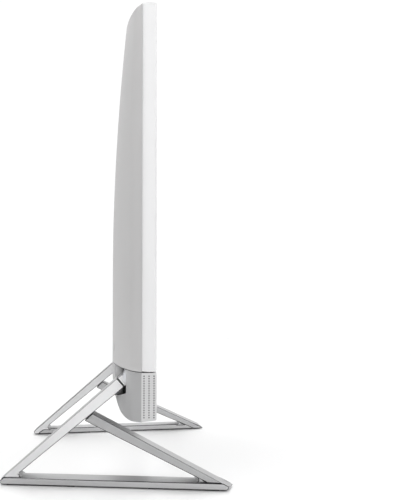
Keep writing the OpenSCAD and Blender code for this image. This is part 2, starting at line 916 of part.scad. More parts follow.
module antenna_leads() {
    color("dimgray") {
        wire_run_z(98, 214, 366);
        wire_run_x(366, 98, 198);
        wire_run_z(198, 366, head_top - 30.8);
        wire_run_z(102, 214, 362);
        wire_run_x(362, -198, 102);
        wire_run_z(-198, 362, head_top - 30.8);
    }
}

module drive_cable() {
    z = drive_box[1] - 2;
    color("black") {
        block([-180, plate_back, z - 9], [board_box[0] - 1, plate_back + 1, z - 1]);
        block([-180, plate_back, z - 2], [-160, plate_back + 1, z]);
    }
}

module cover_screws() {
    color("gray") for (p = cover_screw_at) {
        rod_y(p[0], p[1], 1.4, plate_y - 0.4, plate_back + 6);
        rod_y(p[0], p[1], 3, plate_back + 6, plate_back + 8);
    }
}

left_leg();
right_leg();
foot_pads();
left_hinge_arm();
right_hinge_arm();
hinge_shaft();
shaft_collars();
leg_screws();
rim_frame();
screen_bezel();
lcd_panel();
light_guide();
led_strip();
panel_tray();
panel_control_board();
chassis_plate();
back_cover();
speaker_grille();
chin_cover();
left_hinge_block();
right_hinge_block();
left_speaker();
right_speaker();
system_board();
board_standoffs();
board_screws();
processor();
cold_plate();
heat_pipe();
heat_sink_fins();
fan_housing();
fan_impeller();
fan_cover();
memory_sockets();
memory_modules();
solid_state_drive();
wireless_card();
coin_cell_holder();
coin_cell();
hard_drive();
hard_drive_bracket();
antennas();
io_plate();
usb_ports();
network_port();
video_port();
power_inlet();
audio_jack();
webcam_module();
privacy_shutter();
power_button();
power_switch_board();
display_cable();
webcam_cable();
speaker_cables();
antenna_leads();
drive_cable();
cover_screws();
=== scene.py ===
"""An all-in-one computer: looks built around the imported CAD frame. Metres, +Z up, the screen faces -Y."""
import json
import math

import bpy
import bmesh
from mathutils import Matrix, Vector
from mathutils.geometry import tessellate_polygon


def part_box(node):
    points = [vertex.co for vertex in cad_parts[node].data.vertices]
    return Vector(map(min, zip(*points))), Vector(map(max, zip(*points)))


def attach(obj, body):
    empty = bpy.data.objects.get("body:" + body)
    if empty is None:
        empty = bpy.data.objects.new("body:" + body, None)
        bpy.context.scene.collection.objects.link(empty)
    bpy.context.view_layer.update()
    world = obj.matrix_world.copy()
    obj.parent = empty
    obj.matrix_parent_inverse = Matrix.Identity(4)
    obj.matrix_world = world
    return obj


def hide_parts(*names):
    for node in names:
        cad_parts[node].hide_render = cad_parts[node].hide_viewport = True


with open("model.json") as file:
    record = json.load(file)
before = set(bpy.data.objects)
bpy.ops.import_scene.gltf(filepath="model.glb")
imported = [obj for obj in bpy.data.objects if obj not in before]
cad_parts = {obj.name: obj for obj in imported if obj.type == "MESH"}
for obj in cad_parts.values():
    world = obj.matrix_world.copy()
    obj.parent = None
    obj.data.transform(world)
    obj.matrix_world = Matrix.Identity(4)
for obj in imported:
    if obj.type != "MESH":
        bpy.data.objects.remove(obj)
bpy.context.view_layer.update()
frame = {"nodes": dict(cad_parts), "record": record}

MM = 0.001
NODES = frame["nodes"]
RECORD = frame["record"]
SLOT_OF = {part["node"]: part["material_slot"] for part in RECORD["subparts"]}
MOUNTS = {mount["name"]: Vector(mount["pos_m"]) for mount in RECORD["mounts"]}

# ---- places taken from the frame ----

rim_low, rim_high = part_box("rim_frame")
cover_low, cover_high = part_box("back_cover")
chin_low, chin_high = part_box("chin_cover")

HALF_W = rim_high.x
SCREEN_Y = rim_low.y
RIM_Y = rim_high.y
BACK_Y = cover_high.y
BULGE_TOP = cover_high.z
SEAM_TOP = cover_low.z
SEAM_LOW = chin_high.z
WALL = 2.2 * MM
SEAM_EDGE_R = 0.45 * MM     # rounded edges on both sides of the seam

# The back: flat in the middle, with large arcs towards the sides and the top and slants at its edges.
PLAN_FLAT = 90 * MM
PLAN_RADIUS = 740 * MM
SIDE_RADIUS = 2134 * MM
SIDE_FLAT_Z = 173.7 * MM
SIDE_SLOPE = 0.5
SIDE_BLEND = 2.5 * MM
TOP_SLOPE = 0.253
TOP_BLEND = 1.2 * MM

# The chin's underside rises towards the screen, and its back corner is a long curve in the middle.
CHIN_LOW = chin_low.z
LEVEL_Y = BACK_Y - 18 * MM
UNDER_SLOPE = 2.6 / 21
CORNER_RISE = 33 * MM
END_RISE = 0.8 * MM
CORNER_REACH = 0.5
VALLEY_DEPTH, VALLEY_WIDTH = 1.1 * MM, 7 * MM
VALLEY_FROM, VALLEY_FADE = 5 * MM, 22 * MM


# ---- mesh helpers ----

def mesh_object(name, verts, faces, smooth=True):
    mesh = bpy.data.meshes.new(name)
    mesh.from_pydata([tuple(v) for v in verts], [], faces)
    mesh.validate()
    mesh.update()
    piece = bpy.data.objects.new(name, mesh)
    bpy.context.scene.collection.objects.link(piece)
    for polygon in mesh.polygons:
        polygon.use_smooth = smooth
    return piece


def fix_normals(piece):
    work = bmesh.new()
    work.from_mesh(piece.data)
    bmesh.ops.recalc_face_normals(work, faces=work.faces)
    work.to_mesh(piece.data)
    work.free()


def close_mesh(piece, merge, thin):
    """Merges doubled points, dissolves edges shorter than thin and turns the faces outwards."""
    work = bmesh.new()
    work.from_mesh(piece.data)
    bmesh.ops.remove_doubles(work, verts=work.verts, dist=merge)
    bmesh.ops.dissolve_degenerate(work, edges=work.edges, dist=thin)
    bmesh.ops.recalc_face_normals(work, faces=work.faces)
    work.to_mesh(piece.data)
    work.free()


def grid_faces(columns, rows, closed=False):
    """Quads over a grid of points stored column by column."""
    faces = []
    for i in range(columns if closed else columns - 1):
        a, b = i * rows, ((i + 1) % columns) * rows
        for j in range(rows - 1):
            faces.append((a + j, b + j, b + j + 1, a + j + 1))
    return faces


def apply_modifiers(piece):
    depsgraph = bpy.context.evaluated_depsgraph_get()
    mesh = bpy.data.meshes.new_from_object(piece.evaluated_get(depsgraph))
    piece.modifiers.clear()
    old = piece.data
    piece.data = mesh
    bpy.data.meshes.remove(old)


def box_mesh(work, low, high):
    """Adds a box to a bmesh."""
    size = [high[i] - low[i] for i in range(3)]
    middle = [(high[i] + low[i]) / 2 for i in range(3)]
    place = Matrix.Translation(middle) @ Matrix.Diagonal((*size, 1))
    bmesh.ops.create_cube(work, size=1, matrix=place)


def loft(work, rings):
    """Adds a closed body through two or more rings of points to a bmesh."""
    rings = [[work.verts.new(point) for point in ring] for ring in rings]
    work.faces.new(rings[0])
    work.faces.new(list(reversed(rings[-1])))
    for a, b in zip(rings, rings[1:]):
        for k in range(len(a)):
            m = (k + 1) % len(a)
            work.faces.new((a[k], b[k], b[m], a[m]))


def bmesh_object(name, work):
    mesh = bpy.data.meshes.new(name)
    work.to_mesh(mesh)
    work.free()
    piece = bpy.data.objects.new(name, mesh)
    bpy.context.scene.collection.objects.link(piece)
    return piece


def combine(piece, other, operation):
    """Joins other to piece, or subtracts it, and removes other."""
    modifier = piece.modifiers.new("combine", "BOOLEAN")
    modifier.operation = operation
    modifier.solver = "EXACT"
    modifier.object = other
    apply_modifiers(piece)
    bpy.data.objects.remove(other)


def shade(piece, angle):
    """Smooth shading with sharp edges kept above the angle."""
    mesh = piece.data
    for polygon in mesh.polygons:
        polygon.use_smooth = True
    work = bmesh.new()
    work.from_mesh(mesh)
    limit = math.radians(angle)
    for edge in work.edges:
        edge.smooth = len(edge.link_faces) != 2 or edge.calc_face_angle() < limit
    work.to_mesh(mesh)
    work.free()


def dress(piece, body, material):
    piece.data.materials.clear()
    piece.data.materials.append(material)
    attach(piece, body)
    return piece


# ---- materials ----

def new_material(name, colour, roughness, metallic=0.0, specular=0.5, coat=0.0, coat_roughness=0.1):
    """A Principled material with its uniform values on the shader's own sockets."""
    material = bpy.data.materials.new(name)
    material.use_nodes = True
    shader = material.node_tree.nodes["Principled BSDF"]
    shader.inputs["Base Color"].default_value = (*colour, 1)
    shader.inputs["Roughness"].default_value = roughness
    shader.inputs["Metallic"].default_value = metallic
    shader.inputs["Specular IOR Level"].default_value = specular
    shader.inputs["Coat Weight"].default_value = coat
    shader.inputs["Coat Roughness"].default_value = coat_roughness
    return material, material.node_tree, shader


def object_coordinates(tree, stretch=(1, 1, 1)):
    coordinates = tree.nodes.new("ShaderNodeTexCoord")
    mapping = tree.nodes.new("ShaderNodeMapping")
    mapping.inputs["Scale"].default_value = stretch
    tree.links.new(coordinates.outputs["Object"], mapping.inputs["Vector"])
    return mapping.outputs["Vector"]


def noise(tree, vector, scale, detail=2.0, roughness=0.5):
    node = tree.nodes.new("ShaderNodeTexNoise")
    node.inputs["Scale"].default_value = scale
    node.inputs["Detail"].default_value = detail
    node.inputs["Roughness"].default_value = roughness
    tree.links.new(vector, node.inputs["Vector"])
    return node.outputs["Fac"]


def ramp(tree, value, low, high, at=(0.3, 0.7)):
    """Colour between low and high over a range of value."""
    node = tree.nodes.new("ShaderNodeValToRGB")
    for element, place, colour in zip(node.color_ramp.elements, at, (low, high)):
        element.position = place
        element.color = (*colour, 1)
    tree.links.new(value, node.inputs["Fac"])
    return node.outputs["Color"]


def add_bump(tree, shader, height, distance, strength):
    node = tree.nodes.new("ShaderNodeBump")
    node.inputs["Strength"].default_value = strength
    node.inputs["Distance"].default_value = distance
    tree.links.new(height, node.inputs["Height"])
    tree.links.new(node.outputs["Normal"], shader.inputs["Normal"])


def vary_roughness(tree, shader, value, low, high):
    node = tree.nodes.new("ShaderNodeMapRange")
    node.inputs["To Min"].default_value = low
    node.inputs["To Max"].default_value = high
    tree.links.new(value, node.inputs["Value"])
    tree.links.new(node.outputs["Result"], shader.inputs["Roughness"])


def tint(colour, factor):
    return tuple(min(1.0, c * factor) for c in colour)


def moulded(name, colour, roughness=0.45, grain=1400, depth=0.00002, spread=0.02, specular=0.5, coat=0.0):
    """Moulded or painted plastic: fine spark-eroded grain and slight unevenness."""
    material, tree, shader = new_material(name, colour, roughness, specular=specular, coat=coat)
    where = object_coordinates(tree)
    broad = noise(tree, where, 9, detail=3)
    tree.links.new(ramp(tree, broad, tint(colour, 1 - spread), tint(colour, 1 + spread)),
                   shader.inputs["Base Color"])
    fine = noise(tree, where, grain, detail=4, roughness=0.6)
    vary_roughness(tree, shader, fine, roughness - 0.05, roughness + 0.05)
    add_bump(tree, shader, fine, depth, 0.35)
    return material


def brushed(name, colour, roughness, stretch=(6, 900, 900)):
    """Metal with fine drawn lines along the axis that is stretched least."""
    material, tree, shader = new_material(name, colour, roughness, metallic=1.0)
    lines = noise(tree, object_coordinates(tree, stretch), 1.0, detail=5, roughness=0.7)
    broad = noise(tree, object_coordinates(tree), 14, detail=2)
    tree.links.new(ramp(tree, broad, tint(colour, 0.97), tint(colour, 1.02)), shader.inputs["Base Color"])
    vary_roughness(tree, shader, lines, roughness - 0.07, roughness + 0.07)
    add_bump(tree, shader, lines, 0.00001, 0.5)
    return material


# ---- shape of the head's back ----

def arc_drop(distance, radius):
    distance = max(0.0, distance)
    return radius - math.sqrt(radius * radius - distance * distance)


def smooth_min(a, b, blend):
    h = max(blend - abs(a - b), 0.0) / blend
    return min(a, b) - h * h * blend / 4


def plan_y(x):
    """Y of the outer face at x, below the height where it starts to curve forward."""
    body = BACK_Y - arc_drop(abs(x) - PLAN_FLAT, PLAN_RADIUS)
    return smooth_min(body, RIM_Y + (HALF_W - abs(x)) * SIDE_SLOPE, SIDE_BLEND)


def bulge_y(x, z):
    """Y of the outer face of the bulging back."""
    drop = (arc_drop(abs(x) - PLAN_FLAT, PLAN_RADIUS) ** 3
            + arc_drop(z - SIDE_FLAT_Z, SIDE_RADIUS) ** 3) ** (1 / 3)
    side = RIM_Y + (HALF_W - abs(x)) * SIDE_SLOPE
    top = RIM_Y + (BULGE_TOP - z) / TOP_SLOPE
    y = smooth_min(smooth_min(BACK_Y - drop, side, SIDE_BLEND), top, TOP_BLEND)
    return max(y, RIM_Y)


def steps(start, end, size):
    """Evenly spaced values from start up to but not including end."""
    count = max(1, round(abs(end - start) / size))
    return [start + (end - start) * i / count for i in range(count)]


def mirrored(values):
    """Values from -max to +max, given those from 0 up."""
    return [-v for v in reversed(values) if v > 0] + values


SLANT = 27 * MM         # width beside each end where the back slants, and where the grid is finer
columns_x = mirrored(steps(0, HALF_W - SLANT, 6 * MM) + steps(HALF_W - SLANT, HALF_W, 1.35 * MM) + [HALF_W])


# ---- back cover ----

def slot_prism(work, x, z, width, height, y_low, y_high, radius, segments=5):
    """Adds an upright-faced prism with rounded corners, along Y, to a bmesh."""
    ring = []
    for cx, cz, start in ((1, 1, 0), (-1, 1, 90), (-1, -1, 180), (1, -1, 270)):
        for k in range(segments + 1):
            turn = math.radians(start + 90 * k / segments)
            ring.append((x + cx * (width / 2 - radius) + radius * math.cos(turn),
                         z + cz * (height / 2 - radius) + radius * math.sin(turn)))
    loft(work, [[(px, y, pz) for px, pz in ring] for y in (y_low, y_high)])


def stepped_bore(work, x, z, profile, segments=32):
    """Adds a closed body turned about a Y axis to a bmesh. The profile is (radius, y) pairs."""
    loft(work, [[(x + radius * math.cos(2 * math.pi * k / segments), y,
                  z + radius * math.sin(2 * math.pi * k / segments)) for k in range(segments)]
                for radius, y in profile])


def grid_point(x, z, setback, depth):
    """A point of the cover's outer face, or of its inner face where depth is the wall's thickness."""
    y = bulge_y(x, z) - setback
    if depth:
        step = 0.5 * MM
        dx = (bulge_y(x + step, z) - bulge_y(x - step, z)) / (2 * step)
        dz = (bulge_y(x, z + step) - bulge_y(x, z - step)) / (2 * step)
        y -= depth * math.sqrt(1 + dx * dx + dz * dz)
    return (x, max(y, RIM_Y), z)


SCREWS = [(x * MM, z * MM) for x, z in ((-150, 118), (150, 118), (-150, 376), (150, 376), (0, 384))]
SCREW_R, HEAD_R, MOUTH_R, BOSS_R = 1.6 * MM, 3.2 * MM, 4.6 * MM, 4.4 * MM
HEAD_HEIGHT = 2 * MM
FAN_VENTS, FAN_VENT_PITCH, FAN_VENT_SIZE = 11, 6 * MM, (56 * MM, 2.4 * MM)
TOP_VENTS, TOP_VENT_PITCH, TOP_VENT_SIZE, TOP_VENT_Z = 47, 7 * MM, (3 * MM, 14 * MM), 352 * MM
LOCK_SIZE = (8 * MM, 3 * MM)
CUT_FROM, CUT_TO = RIM_Y + 3 * MM, 10 * MM      # openings run from inside the cover to past its outer face


def back_surface():
    """The cover's wall, open towards the screen: an outer and an inner skin that meet all round."""
    turns = [math.radians(a) for a in (90, 60, 30, 0)]
    rows = [(SEAM_TOP + SEAM_EDGE_R * (1 - math.sin(a)), SEAM_EDGE_R * (1 - math.cos(a))) for a in turns]
    fine, finest = BULGE_TOP - 44 * MM, BULGE_TOP - 8 * MM
    heights = (steps(SEAM_TOP + SEAM_EDGE_R, fine, 6 * MM)[1:] + steps(fine, finest, 1.8 * MM)
               + steps(finest, BULGE_TOP, 0.3 * MM) + [BULGE_TOP])
    rows += [(z, 0.0) for z in heights]
    outer = [grid_point(x, z, setback, 0) for x in columns_x for z, setback in rows]
    inner = [grid_point(x, z, 0, WALL) for x in columns_x for z, _ in rows]
    count, high = len(columns_x), len(rows)
    faces = grid_faces(count, high)
    faces += [tuple(len(outer) + i for i in reversed(face)) for face in grid_faces(count, high)]
    faces += [(i * high, len(outer) + i * high, len(outer) + (i + 1) * high, (i + 1) * high)
              for i in range(count - 1)]
    shell = mesh_object("back_shell", outer + inner, faces)
    close_mesh(shell, 1e-6, 1e-7)
    return shell


def build_back_shell():
    shell = back_surface()
    seat_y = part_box("cover_screws")[1].y - HEAD_HEIGHT
    bosses = bmesh.new()
    for x, z in SCREWS:
        top = min(bulge_y(x + dx * MM, z + dz * MM) for dx in (-4, 4) for dz in (-4, 4)) - 0.5 * MM
        stepped_bore(bosses, x, z, [(BOSS_R, RIM_Y + 0.3 * MM), (BOSS_R, top)])
    boss = bmesh_object("boss_bodies", bosses)
    fix_normals(boss)
    combine(shell, boss, "UNION")

    cuts = bmesh.new()
    for x, z in SCREWS:
        mouth = bulge_y(x, z)
        stepped_bore(cuts, x, z, [(SCREW_R, RIM_Y - 1 * MM), (SCREW_R, seat_y), (HEAD_R, seat_y),
                                  (HEAD_R, mouth - 0.6 * MM), (MOUTH_R, mouth + 0.8 * MM)])
    for i in range(FAN_VENTS):
        slot_prism(cuts, fan_centre.x, fan_centre.z + (i - FAN_VENTS // 2) * FAN_VENT_PITCH, *FAN_VENT_SIZE,
                   CUT_FROM, CUT_TO, 1.19 * MM)
    for i in range(TOP_VENTS):
        slot_prism(cuts, (i - TOP_VENTS // 2) * TOP_VENT_PITCH, TOP_VENT_Z, *TOP_VENT_SIZE,
                   CUT_FROM, CUT_TO, 1.49 * MM)
    plate_low, plate_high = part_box("io_plate")
    gap = 0.2 * MM
    slot_prism(cuts, (plate_low.x + plate_high.x) / 2, (plate_low.z + plate_high.z) / 2,
               plate_high.x - plate_low.x + 2 * gap, plate_high.z - plate_low.z + 2 * gap,
               plate_low.y - 4 * MM, CUT_TO, 0.6 * MM)
    lock = MOUNTS["lock_slot"]
    slot_prism(cuts, lock.x, lock.z, *LOCK_SIZE, CUT_FROM, CUT_TO, 0.7 * MM)
    cutter = bmesh_object("back_cuts", cuts)
    fix_normals(cutter)
    combine(shell, cutter, "DIFFERENCE")
    shade(shell, 30)
    return shell


fan_low, fan_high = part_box("fan_housing")
fan_centre = (fan_low + fan_high) / 2
back_shell = build_back_shell()


# ---- chin, rear half ----

WALL_STEPS, CORNER_STEPS, UNDER_STEPS = 12, 12, 8


def under_z(y):
    return CHIN_LOW + max(0.0, LEVEL_Y - y) * UNDER_SLOPE


def plan_normal(x):
    step = 0.2 * MM
    slope = (plan_y(x + step) - plan_y(x - step)) / (2 * step)
    return Vector((-slope, 1, 0)).normalized()


def corner_rise(y):
    """Height of the rounded back corner where the plan outline is at y."""
    t = min(1.0, max(0.0, (y - RIM_Y) / (BACK_Y - RIM_Y)))
    return END_RISE + (CORNER_RISE - END_RISE) * t ** 4


def chin_section(x, inset):
    """Points from the seam down the wall, round the corner and forward to the rim plane."""
    normal = plan_normal(x)
    base = Vector((x, plan_y(x), 0)) - normal * inset
    rise = corner_rise(plan_y(x))
    points = []
    for a in (90, 60, 30, 0):
        turn = math.radians(a)
        back = SEAM_EDGE_R * (1 - math.cos(turn)) if inset == 0 else 0
        p = base - normal * back
        points.append((p.x, p.y, SEAM_LOW - SEAM_EDGE_R * (1 - math.sin(turn))))
    low = under_z(base.y) + rise
    for i in range(1, WALL_STEPS):
        z = SEAM_LOW - SEAM_EDGE_R + (low - SEAM_LOW + SEAM_EDGE_R) * i / WALL_STEPS
        p = base - normal * valley(x, z)
        points.append((p.x, p.y, z))
    reach = rise * CORNER_REACH
    for i in range(CORNER_STEPS + 1):
        turn = math.radians(90 * i / CORNER_STEPS)
        p = base - normal * (max(0.0, reach - inset * CORNER_REACH) * (1 - math.cos(turn)))
        rise_in = max(0.0, rise - inset)
        z = under_z(p.y) + inset + rise_in * (1 - math.sin(turn))
        p -= normal * valley(x, z) * (1 - i / CORNER_STEPS)
        points.append((p.x, p.y, z))
    end = points[-1]
    for i in range(1, UNDER_STEPS + 1):
        y = end[1] + (RIM_Y - end[1]) * i / UNDER_STEPS
        points.append((end[0], y, under_z(y) + inset))
    return [(px, max(py, RIM_Y), pz) for px, py, pz in points]


def valley(x, z):
    """Depth of the soft hollow that runs down from the outer edge of each arm slot."""
    across = math.exp(-(((abs(x) - SLOT_OUTER) / VALLEY_WIDTH) ** 2))
    along = min(1.0, max(0.0, (z - CHIN_LOW - VALLEY_FROM) / VALLEY_FADE))
    return VALLEY_DEPTH * across * along * along * (3 - 2 * along)


def slot_outline():
    """Outline of an arm slot in X and Z, placed by the frame's hinge arm. It runs past the seam."""
    return [(SLOT_INNER, 75 * MM), (ARM_HIGH.x + 2 * MM, 78 * MM), (SLOT_OUTER, 82 * MM),
            (SLOT_OUTER, SEAM_LOW + 4 * MM), (SLOT_INNER, SEAM_LOW + 4 * MM)]


def build_chin_shell():
    outer = [chin_section(x, 0) for x in columns_x]
    inner = [chin_section(x, WALL) for x in columns_x]
    high = len(outer[0])
    verts = [p for column in outer for p in column] + [p for column in inner for p in column]
    half = len(columns_x) * high
    faces = grid_faces(len(columns_x), high)
    faces += [tuple(half + i for i in reversed(face)) for face in grid_faces(len(columns_x), high)]
    for i in range(len(columns_x) - 1):
        a, b = i * high, (i + 1) * high
        faces.append((a, half + a, half + b, b))
        faces.append((a + high - 1, b + high - 1, half + b + high - 1, half + a + high - 1))
    last = (len(columns_x) - 1) * high
    for j in range(high - 1):
        faces.append((j, j + 1, half + j + 1, half + j))
        faces.append((last + j + 1, last + j, half + last + j, half + last + j + 1))
    shell = mesh_object("chin_shell", verts, faces)
    close_mesh(shell, 2e-6, 1e-6)
    cuts = bmesh.new()
    for side in (-1, 1):
        loft(cuts, [[(side * x, y, z) for x, z in slot_outline()] for y in SLOT_CUT_Y])
    cutter = bmesh_object("slot_cuts", cuts)
    fix_normals(cutter)
    combine(shell, cutter, "DIFFERENCE")
    shade(shell, 30)
    return shell


def build_slot_walls():
    """Plates that line both sides of each arm slot, from the chin's wall inwards."""
    work = bmesh.new()
    for side in (-1, 1):
        for x, thickness, deep_y, low in LINING:
            curve = [(y, z) for _, y, z in chin_section(x, LINING_INSET) if z > low]
            outline = [(deep_y, low)] + list(reversed(curve)) + [(deep_y, curve[0][1])]
            loft(work, [[(side * at_x, y, z) for y, z in outline] for at_x in (x, x + thickness)])
    walls = bmesh_object("slot_walls", work)
    fix_normals(walls)
    return walls


ARM_LOW, ARM_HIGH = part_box("right_hinge_arm")
SLOT_INNER = ARM_LOW.x - 2 * MM
SLOT_OUTER = 226 * MM
SLOT_CUT_Y = (-16 * MM, 40 * MM)
LINING_INSET = 0.2 * MM
LINING = ((SLOT_INNER + 0.05 * MM, -0.95 * MM, -5.2 * MM, 73 * MM),     # x, thickness, innermost y, lowest z
          (SLOT_OUTER - 0.05 * MM, 1.25 * MM, -18 * MM, 80 * MM))
chin_shell = build_chin_shell()
slot_walls = build_slot_walls()


# ---- chin, front half with the sound holes ----

HOLE_R = 0.58 * MM
HOLE_DEPTH = 0.5 * MM
DIMPLE_R = 0.22 * MM
DIMPLE_DEPTH = 0.14 * MM
ROW_PITCH = 2 * MM
ROWS = 18
ROWS_LOW = 64.8 * MM
CORNER_R = 1.1 * MM
GRILLE_PITCH = 2.05 * MM
SIDE_HOLES_Y = [SCREEN_Y + d * MM for d in (10.4, 6.3, 2.2)]
CORNER_STRIPS = 5
PLAIN_FRONT = 1.1 * MM      # plain strip on the front beside each corner
LOW_EDGE_R = 1.0 * MM
BUTTON_HOLE_R = 3.5 * MM
CLOTH_GAP, CLOTH_THICKNESS, CLOTH_MARGIN = 0.05 * MM, 0.3 * MM, 0.5 * MM
KEY_SCALE = 1e7             # points that agree to a tenth of a micrometre are shared


class WrappedPath:
    """The grille's plan: along one side, round a corner, across the front, and back along the other side."""

    def __init__(self):
        self.side = RIM_Y - SCREEN_Y - CORNER_R
        self.arc = CORNER_R * math.pi / 2
        self.front = 2 * (HALF_W - CORNER_R)
        self.total = 2 * self.side + 2 * self.arc + self.front

    def at(self, u):
        """(x, y, outward normal) at a distance along the path."""
        if u > self.total / 2:
            x, y, normal = self.at(self.total - u)
            return -x, y, Vector((-normal.x, normal.y, 0))
        if u <= self.side:
            return -HALF_W, RIM_Y - u, Vector((-1, 0, 0))
        u -= self.side
        if u <= self.arc:
            turn = u / CORNER_R
            normal = Vector((-math.cos(turn), -math.sin(turn), 0))
            return (-HALF_W + CORNER_R + normal.x * CORNER_R, SCREEN_Y + CORNER_R + normal.y * CORNER_R,
                    normal)
        return -HALF_W + CORNER_R + u - self.arc, SCREEN_Y, Vector((0, -1, 0))


def grille_strips(path):
    """(start, end, kind) of each upright strip along the path: h has holes, d dimples and b nothing."""
    half = GRILLE_PITCH / 2
    edges, kinds = [0.0], []
    for i, y in enumerate(SIDE_HOLES_Y):
        start = RIM_Y - y - half
        edges.append(start)
        kinds.append("d" if i else "b")
        edges.append(start + GRILLE_PITCH)
        kinds.append("h")
    edges.append(path.side)
    kinds.append("b")
    for k in range(1, CORNER_STRIPS + 1):
        edges.append(path.side + path.arc * k / CORNER_STRIPS)
        kinds.append("b")
    first = path.side + path.arc + PLAIN_FRONT
    edges.append(first)
    kinds.append("b")
    span = path.total - 2 * first
    count = 2 * (round(span / GRILLE_PITCH) // 2) + 1
    for k in range(count):
        edges.append(first + span * (k + 1) / count)
        kinds.append("d" if k % 2 else "h")
    if any(b <= a for a, b in zip(edges, edges[1:])):
        raise ValueError("the strips are out of order")
    back = [(path.total - b, path.total - a, kind)
            for a, b, kind in reversed(list(zip(edges, edges[1:], kinds))) if b <= first + 1e-9]
    return list(zip(edges, edges[1:], kinds)) + back


def build_grille_shell():
    path = WrappedPath()
    strips = grille_strips(path)
    verts, index, faces = [], {}, []

    def place(u, z, depth=0.0):
        x, y, normal = path.at(u)
        return (x - normal.x * depth, y - normal.y * depth, z)

    def vert(u, z):
        key = (round(u * KEY_SCALE), round(z * KEY_SCALE))
        if key not in index:
            index[key] = len(verts)
            verts.append(place(u, z))
        return index[key]

    def new(point):
        verts.append(point)
        return len(verts) - 1

    def tile(kind, u0, u1, z0, z1):
        um, zm = (u0 + u1) / 2, (z0 + z1) / 2
        around = [vert(u0, z0), vert(um, z0), vert(u1, z0), vert(u1, zm),
                  vert(u1, z1), vert(um, z1), vert(u0, z1), vert(u0, zm)]
        radius = HOLE_R if kind == "h" else DIMPLE_R
        turns = [math.radians(225 + 45 * k) for k in range(8)]
        ring = [new(place(um + radius * math.cos(t), zm + radius * math.sin(t))) for t in turns]
        for k in range(8):
            m = (k + 1) % 8
            faces.append((around[k], around[m], ring[m], ring[k]))
        if kind == "h":
            deep = [new(place(um + radius * math.cos(t), zm + radius * math.sin(t), HOLE_DEPTH))
                    for t in turns]
            for k in range(8):
                m = (k + 1) % 8
                faces.append((ring[k], ring[m], deep[m], deep[k]))
        else:
            centre = new(place(um, zm, DIMPLE_DEPTH))
            for k in range(8):
                faces.append((ring[k], ring[(k + 1) % 8], centre))

    levels = [ROWS_LOW + ROW_PITCH * j for j in range(ROWS + 1)]
    top = levels[-1]
    half = ROW_PITCH / 2
    for u0, u1, kind in strips:
        um = (u0 + u1) / 2
        if kind == "h":
            for z in levels[:-1]:
                tile(kind, u0, u1, z, z + ROW_PITCH)
        elif kind == "d":
            faces.append((vert(u0, levels[0]), vert(u1, levels[0]), vert(u1, levels[0] + half),
                          vert(um, levels[0] + half), vert(u0, levels[0] + half)))
            for z in levels[:-2]:
                tile(kind, u0, u1, z + half, z + half + ROW_PITCH)
            faces.append((vert(u0, top - half), vert(um, top - half), vert(u1, top - half),
                          vert(u1, top), vert(u0, top)))
        else:
            faces.append((vert(u0, levels[0]), vert(u1, levels[0]), vert(u1, top), vert(u0, top)))

    # Margins: up to a rounded edge and over the wall's top, and down round the lower edge.
    ends = sorted({u for u0, u1, _ in strips for u in (u0, u1)})
    upper, lower = [], []
    for u in ends:
        column = [vert(u, top)]
        for a in (0, 30, 60, 90):
            turn = math.radians(a)
            column.append(new(place(u, SEAM_LOW - SEAM_EDGE_R * (1 - math.sin(turn)),
                                    SEAM_EDGE_R * (1 - math.cos(turn)))))
        column.append(new(place(u, SEAM_LOW, WALL)))
        column.append(new(place(u, SEAM_LOW - 4 * MM, WALL)))
        upper.append(column)
        column = [vert(u, levels[0])]
        for a in (0, 22.5, 45, 67.5, 90):
            turn = math.radians(a)
            px, py, _ = place(u, 0, LOW_EDGE_R * (1 - math.cos(turn)))
            column.append(new((px, py, under_z(py) + LOW_EDGE_R * (1 - math.sin(turn)))))
        lower.append(column)
    kind_of = {round(u0 * KEY_SCALE): kind for u0, _, kind in strips}
    for i, u in enumerate(ends[:-1]):
        for columns in (upper, lower):
            a, b = columns[i], columns[i + 1]
            for j in range(len(a) - 1):
                face = [a[j], b[j], b[j + 1], a[j + 1]]
                if j == 0 and kind_of[round(u * KEY_SCALE)] == "h":
                    face.insert(1, vert((u + ends[i + 1]) / 2, top if columns is upper else levels[0]))
                faces.append(tuple(face))

    # Underside, with the hole for the power button.
    ring = [column[-1] for column in lower]
    outline = [Vector(verts[i]) for i in ring]
    outline[0].y = outline[-1].y = RIM_Y
    button_low, button_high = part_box("power_button")
    centre = (button_low + button_high) / 2
    hole = [Vector((centre.x + BUTTON_HOLE_R * math.cos(math.radians(a)),
                    centre.y + BUTTON_HOLE_R * math.sin(math.radians(a)), 0)) for a in range(0, 360, 9)]
    for point in hole:
        point.z = under_z(point.y)
    flat = [[Vector((q.x, q.y, 0)) for q in loop] for loop in (outline, hole)]
    rim = [new(tuple(q)) for q in hole]
    known = ring + rim
    faces += [tuple(known[i] for i in triangle) for triangle in tessellate_polygon(flat)]
    walls = [new((q.x, q.y, q.z + WALL)) for q in hole]
    for k in range(len(rim)):
        m = (k + 1) % len(rim)
        faces.append((rim[k], walls[k], walls[m], rim[m]))

    shell = mesh_object("grille_shell", verts, faces)
    fix_normals(shell)
    shade(shell, 30)
    return shell


